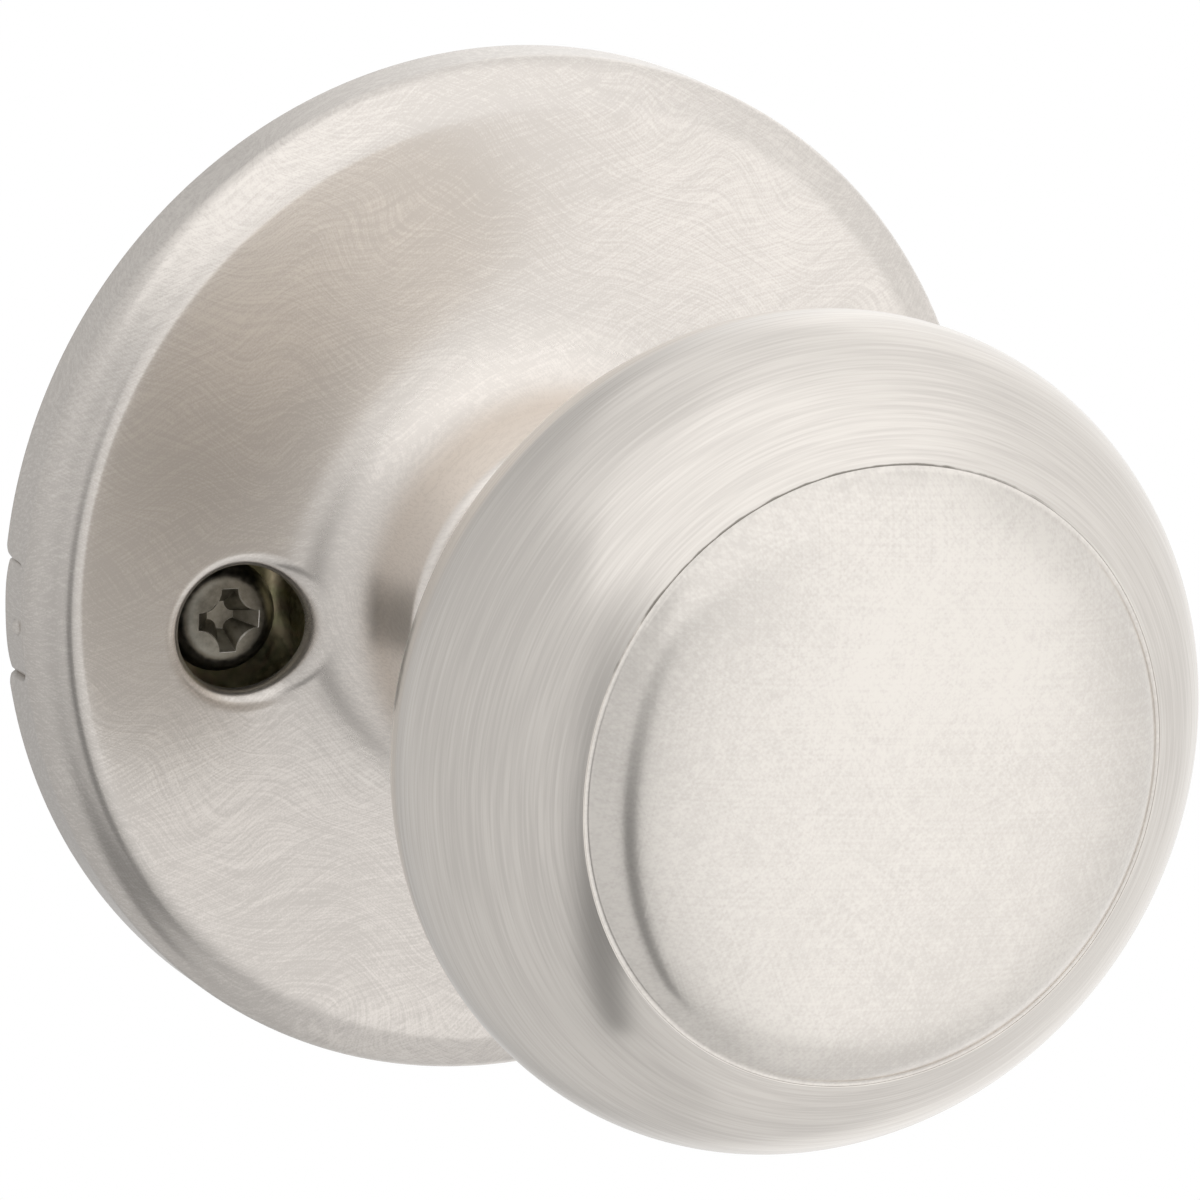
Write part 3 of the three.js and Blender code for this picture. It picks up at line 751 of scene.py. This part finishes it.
def swirled(name):
    """The rose's swirled scratches, painted light on its top and hub, and painted shade in its notch's
    groove.
    """
    material, tree, where = blank(name)
    drift = calc(tree, "MULTIPLY", noise(tree, where, 0.09, 1), 9)
    bent = add(tree, "VectorMath", {0: where, 1: add(tree, "CombineXYZ", {"X": drift, "Z": drift})})
    short = noise(tree, stretched(tree, bent, (3.6, 0.5, 0.13), 35), 1, 2)
    cross = noise(tree, stretched(tree, bent, (0.13, 0.5, 2.8), 72), 1, 2)
    grain = noise(tree, where, 9, 2)
    mark = calc(tree, "MULTIPLY", calc(tree, "ADD", calc(tree, "ADD", short, cross), grain), 1 / 3)
    cloud = noise(tree, where, 0.05, 1)
    fine = remap(tree, calc(tree, "ADD", mark, calc(tree, "MULTIPLY", cloud, 0.3)), 0.58, 0.77)
    x, _, z, _, radius = from_axis(tree, where)
    # Painted light: the colour is lighter towards the top of the rose and near its hub.
    top = remap(tree, calc(tree, "ADD", z, calc(tree, "MULTIPLY", x, 0.3)), -12, 24, 0, 0.4)
    hub = remap(tree, radius, HUB_RADIUS + 0.2, HUB_RADIUS + 4.5, 0.6, 0)
    patches = calc(tree, "ADD", calc(tree, "MULTIPLY", fine, 0.45), calc(tree, "ADD", top, hub))
    # Painted shade in the groove round the notch, from the mesh's groove layer.
    groove = add(tree, "Attribute", out="Fac", attribute_name="groove")
    duller_hub = remap(tree, radius, HUB_RADIUS + 0.6, HUB_RADIUS + 4, 0.42, 0.18)
    more = {"microns": 10.0, "sharp": duller_hub, "soft": 0.42, "share": 0.45}
    satin(tree, ROSE_TONES, mark, patches, grime=groove, **more)
    return material


# ---- Other finishes
ZINC_FILM = (
    (0.58, 0.49, 0.26, 1),
    (0.44, 0.44, 0.25, 1),
    (0.56, 0.43, 0.31, 1),
    (0.40, 0.43, 0.30, 1),
)


def plated(name, dark, light, roughness, grain=3.0, microns=6.0, metallic=1.0, hue=None):
    """A plated, moulded or bare surface: cloudy colour between two tones, grain, and uneven roughness.

    Hue is a row of colours for a thin film, like the one on yellow zinc.
    """
    material, tree, where = blank(name)
    cloud = noise(tree, where, 0.35, 3)
    fine = noise(tree, where, grain, 3)
    both = calc(tree, "ADD", calc(tree, "MULTIPLY", cloud, 0.6), calc(tree, "MULTIPLY", fine, 0.4))
    colour = tint(tree, remap(tree, both, 0.38, 0.62), dark, light)
    if hue is not None:
        film = noise(tree, where, 0.55, 1)
        bands = add(tree, "ValToRGB", {0: remap(tree, film, 0.3, 0.7)})
        elements = bands.node.color_ramp.elements
        for k, shade in enumerate(hue):
            spot = k / (len(hue) - 1)
            stop = elements[k] if k < 2 else elements.new(spot)
            stop.position = spot
            stop.color = shade
        colour = tint(tree, 0.45, colour, bands)
    rough = remap(tree, fine, 0.35, 0.65, roughness * 0.8, roughness * 1.2)
    output(tree, principled(tree, colour, rough, bump(tree, fine, microns), metallic))
    return material


# ---- The studio: light comes from the world, which the camera itself sees as plain white
GAP_SIDE = 34  # degrees to the left of the front, of the dark gap between two panels
GAP_LEAN = 0.0048  # how fast the gap bends further left below the horizon
GAP_LIGHT = 0.07


def ramp(tree, factor, low, high, stops):
    """A value that follows (position, value) stops, for positions from low to high."""
    band = add(tree, "ValToRGB", {0: remap(tree, factor, low, high)})
    elements = band.node.color_ramp.elements
    for k, (position, value) in enumerate(stops):
        spot = (position - low) / (high - low)
        stop = elements[k] if k < 2 else elements.new(spot)
        stop.position = spot
        stop.color = (value / 2, value / 2, value / 2, 1)
    return calc(tree, "MULTIPLY", band, 2)


def between(tree, factor, a, b):
    return add(tree, "Mix", {0: factor, 2: a, 3: b}, data_type="FLOAT")


def panel_light(tree, azimuth, height):
    """The panels' light: a band of them round the middle, one above it and one below it."""
    middle = ramp(tree, azimuth, -180, 180, [
        (-180, 0.5), (-160, 0.56), (-145, 0.60), (-100, 0.62), (-75, 0.64), (-55, 0.68), (-20, 0.8),
        (0, 0.93), (25, 1.05), (45, 1.0), (65, 0.86), (110, 0.82), (130, 1.0), (148, 1.1), (165, 0.75),
        (180, 0.5),
    ])
    above = ramp(tree, azimuth, -180, 180, [
        (-180, 0.8), (-110, 0.75), (-70, 0.9), (-50, 1.04), (50, 1.04), (90, 0.92), (180, 0.8),
    ])
    below = ramp(tree, azimuth, -180, 180, [
        (-180, 0.65), (-60, 0.62), (-30, 0.66), (0, 0.76), (100, 0.76), (180, 0.65),
    ])
    low_side = ramp(tree, azimuth, -180, 180, [(-180, 30), (-150, 44), (-60, 44), (-45, 22), (180, 30)])
    high = add(tree, "MapRange", {
        "Value": height,
        "From Min": low_side,
        "From Max": calc(tree, "ADD", low_side, 16),
    }, interpolation_type="SMOOTHSTEP")
    low = remap(tree, height, -50, -64)
    return between(tree, low, between(tree, high, middle, above), below)


def gap_share(tree, azimuth, height):
    """How much of the dark gap a direction meets, from 0 to 1."""
    sunk = calc(tree, "MINIMUM", height, 0)
    lean = calc(tree, "MULTIPLY", calc(tree, "MULTIPLY", sunk, sunk), GAP_LEAN)
    side = calc(tree, "ABSOLUTE", calc(tree, "ADD", calc(tree, "ADD", azimuth, GAP_SIDE), lean))
    gap = calc(tree, "MULTIPLY", remap(tree, side, 5.0, 9.5, 1, 0), remap(tree, height, -15, 36, 1, 0))
    return calc(tree, "MULTIPLY", gap, remap(tree, height, -67, -62))


def studio_world():
    """Soft panels round the object, with one dark gap between two of them to the front left.

    Directions are an azimuth, with the front at 0 and the right at 90, and a height, both in degrees.
    """
    world = bpy.data.worlds.new("studio")
    world.use_nodes = True
    tree = world.node_tree
    tree.nodes.clear()
    direction = add(tree, "TexCoord", out="Generated")
    x, y, z = (add(tree, "SeparateXYZ", {0: direction}, axis) for axis in "XYZ")
    turn = calc(tree, "ARCTAN2", x, calc(tree, "MULTIPLY", y, -1))
    azimuth = calc(tree, "MULTIPLY", turn, 180 / math.pi)
    height = calc(tree, "MULTIPLY", calc(tree, "ARCSINE", z), 180 / math.pi)
    panels = panel_light(tree, azimuth, height)
    light = between(tree, gap_share(tree, azimuth, height), panels, GAP_LIGHT)
    seen = add(tree, "LightPath", out="Is Camera Ray")
    strength = between(tree, seen, light, 1.0)
    surface = add(tree, "Background", {"Color": (1, 1, 1, 1), "Strength": strength})
    tree.links.new(surface, tree.nodes.new("ShaderNodeOutputWorld").inputs["Surface"])
    bpy.context.scene.world = world


# ---- Stage, light and camera
def floor():
    """A wide pale disc under the object. The camera sees it as plain white, as in the photograph.

    Reflections leave it out: they see the world's soft panels.
    """
    material, tree, where = blank("pale_floor")
    cloud = noise(tree, where, 0.004, 2)
    pale = tint(tree, cloud, (0.93, 0.93, 0.93, 1), (0.97, 0.97, 0.97, 1))
    surface = principled(tree, pale, 0.7, bump(tree, noise(tree, where, 1.5), 5), 0.0)
    glow = add(tree, "Emission", {"Color": (1, 1, 1, 1), "Strength": 1.0})
    seen = add(tree, "LightPath", out="Is Camera Ray")
    output(tree, add(tree, "MixShader", {0: seen, 1: surface, 2: glow}))
    radius = 700
    thickness = 2
    level = -(ROSE_RADIUS + 0.3)
    ring = [place(radius, 0, math.radians(3 * k)) for k in range(120)]
    bm = prism([[Vector((p.x, p.z, (level - drop) * MM)) for p in ring] for drop in (thickness, 0)])
    obj = bpy.data.objects.new("floor", smooth(bm, "floor"))
    obj.data.materials.append(material)
    obj.visible_glossy = False
    bpy.context.scene.collection.objects.link(obj)


def soft_light(name, place_at, size, watts):
    """An area light aimed at the knob. Metal doesn't mirror it: it lifts only what scatters light."""
    lamp = bpy.data.lights.new(name, "AREA")
    lamp.shape = "DISK"
    lamp.size = size
    lamp.energy = watts
    obj = bpy.data.objects.new(name, lamp)
    obj.location = place_at
    obj.rotation_mode = "QUATERNION"
    obj.rotation_quaternion = (-Vector(place_at)).to_track_quat("-Z", "Y")
    obj.visible_glossy = False
    obj.visible_camera = False
    bpy.context.scene.collection.objects.link(obj)


# ---- The camera's view, in degrees and millimetres
AZIMUTH = -24.56
ELEVATION = 15.79
ROLL = -1.03
KNOB_TURN = 2.6  # the knob set stands turned about its axis in the photograph
CAMERA_DISTANCE = 550
LENS = 275.4
AIM_DEPTH = 30  # of a point on the knob's axis
FRAME_SHIFT = (-5.42, 4.42)  # from that point to the one in the middle of the picture, right and up


def camera():
    """Looks from the knob's left and from above, as in the photograph.

    The object stays level, so the camera goes round the knob's axis instead of the object turning.
    """
    azimuth, elevation, roll = (math.radians(a) for a in (AZIMUTH, ELEVATION, ROLL))
    back = Vector((
        math.sin(azimuth) * math.cos(elevation),
        -math.cos(azimuth) * math.cos(elevation),
        math.sin(elevation),
    ))
    right = Vector((math.cos(azimuth), math.sin(azimuth), 0))
    up = right.cross(-back)
    target = Vector((0, -AIM_DEPTH, 0)) + FRAME_SHIFT[0] * right + FRAME_SHIFT[1] * up
    right, up = (
        right * math.cos(roll) + up * math.sin(roll),
        up * math.cos(roll) - right * math.sin(roll),
    )
    made = bpy.data.cameras.new("camera")
    made.sensor_width = 36
    made.lens = LENS
    made.clip_start = 0.01
    made.clip_end = 100
    obj = bpy.data.objects.new("camera", made)
    stand = Matrix.Translation((target + CAMERA_DISTANCE * back) * MM)
    look = stand @ Matrix((right, up, back)).transposed().to_4x4()
    obj.matrix_world = Matrix.Rotation(math.radians(KNOB_TURN), 4, "Y") @ look
    bpy.context.scene.collection.objects.link(obj)
    bpy.context.scene.camera = obj


# ---- What is done to a finished piece
def bare_edge(obj):
    """Gives the sheet's cut edge at the door the second material."""
    for face in obj.data.polygons:
        if -face.center.y < 0.1 * MM:
            face.material_index = 1


def wear_recess(obj, side):
    """Gives the chamfer round a screw's recess the second material."""
    for face in obj.data.polygons:
        off_axis = math.hypot(face.center.x - side * SCREW_OFFSET * MM, face.center.z)
        outside = -face.center.y > RECESS_EDGE * MM
        if outside and abs(face.normal.y) < 0.85 and off_axis < RECESS_REACH * MM:
            face.material_index = 1


def round_edges(obj, width, material=-1):
    """Rounds the sharp edges. A material's number makes the rounded edges a finish of their own."""
    edges = obj.modifiers.new("edges", "BEVEL")
    edges.width = width * MM
    edges.segments = 2
    edges.limit_method = "ANGLE"
    edges.angle_limit = SHARP
    edges.material = material
    shading = obj.modifiers.new("shading", "WEIGHTED_NORMAL")
    shading.keep_sharp = True


# ---- The object
bulb_nickel = brushed_round("nickel_brushed_round")
front_nickel = hairlines("nickel_hairlines")
rose_nickel = swirled("nickel_swirled")
cut_edge = plated("cut_edge", (0.12, 0.115, 0.085, 1), (0.2, 0.19, 0.15, 1), 0.5)
yellow_zinc = plated("yellow_zinc", (0.38, 0.345, 0.21, 1), (0.60, 0.55, 0.35, 1), 0.42, hue=ZINC_FILM)
dark_screw = plated("dark_screw", (0.19, 0.178, 0.15, 1), (0.34, 0.32, 0.27, 1), 0.36)
worn_screw = plated("worn_screw", (0.66, 0.64, 0.60, 1), (0.86, 0.83, 0.78, 1), 0.34)
bright_steel = plated("bright_steel", (0.55, 0.56, 0.57, 1), (0.68, 0.69, 0.70, 1), 0.34)
spring_steel = plated("spring_steel", (0.26, 0.265, 0.27, 1), (0.40, 0.41, 0.42, 1), 0.38)
rough_cast = {"grain": 2.0, "microns": 20.0}
zinc_casting = plated("zinc_casting", (0.44, 0.45, 0.46, 1), (0.58, 0.59, 0.60, 1), 0.5, **rough_cast)
moulded = {"grain": 4.0, "microns": 5.0, "metallic": 0.0}
nylon = plated("nylon", (0.82, 0.80, 0.74, 1), (0.90, 0.88, 0.83, 1), 0.5, **moulded)

bare_edge(piece("rose_cover", rose(), "mount", "satin_nickel", [rose_nickel, cut_edge], "rose"))
piece("knob_bulb", knob_shell(), "knob", "satin_nickel", [bulb_nickel], "knob_shell")
piece("knob_front", knob_face(), "knob", "satin_nickel", [front_nickel], "knob_face")

screws = []
for side, name in ((-1, "left"), (1, "right")):
    finish = [dark_screw, worn_screw]
    made = piece(f"{name}_pan_head_screw", screw(side), "mount", "dark_screw", finish, f"{name}_screw")
    wear_recess(made, side)
    screws.append(made)

# Plain pieces are those whose rounded edges have the same finish as the rest of them.
plain = [piece("zinc_plate", mounting_plate(), "mount", "yellow_zinc", [yellow_zinc], "mounting_plate")]
plain.append(piece("zinc_cover", spring_cover(), "mount", "yellow_zinc", [yellow_zinc], "spring_cover"))
for k, angle in enumerate(RIVET_ANGLES, 1):
    piece(f"rivet_{k}", cover_rivet(angle), "mount", "bright_steel", [bright_steel], f"cover_rivet_{k}")
plain.append(piece("steel_shank", knob_shank(), "knob", "bright_steel", [bright_steel], "knob_shank"))
plain.append(piece("half_round_bar", spindle(), "spindle", "bright_steel", [bright_steel], "spindle"))

CARRIED_OVER = {
    "hub_bushing": nylon,
    "return_spring": spring_steel,
    "knob_core": zinc_casting,
    "driver_plate": yellow_zinc,
    "retaining_ring": spring_steel,
    "wave_washer": spring_steel,
    "thrust_washer": bright_steel,
    "spindle_driver": zinc_casting,
    "leaf_spring": spring_steel,
}
for name, material in CARRIED_OVER.items():
    NODES[name].data.materials.clear()
    NODES[name].data.materials.append(material)
    plain.append(NODES[name])


for obj in plain:
    round_edges(obj, 0.08)
for obj in screws:
    round_edges(obj, 0.05, 1)

studio_world()
floor()
soft_light("key", (-0.25, -0.45, 0.5), 0.4, 4)
soft_light("fill", (0.5, 0.3, 0.35), 0.5, 3)
camera()
bpy.context.scene.view_settings.view_transform = "Standard"
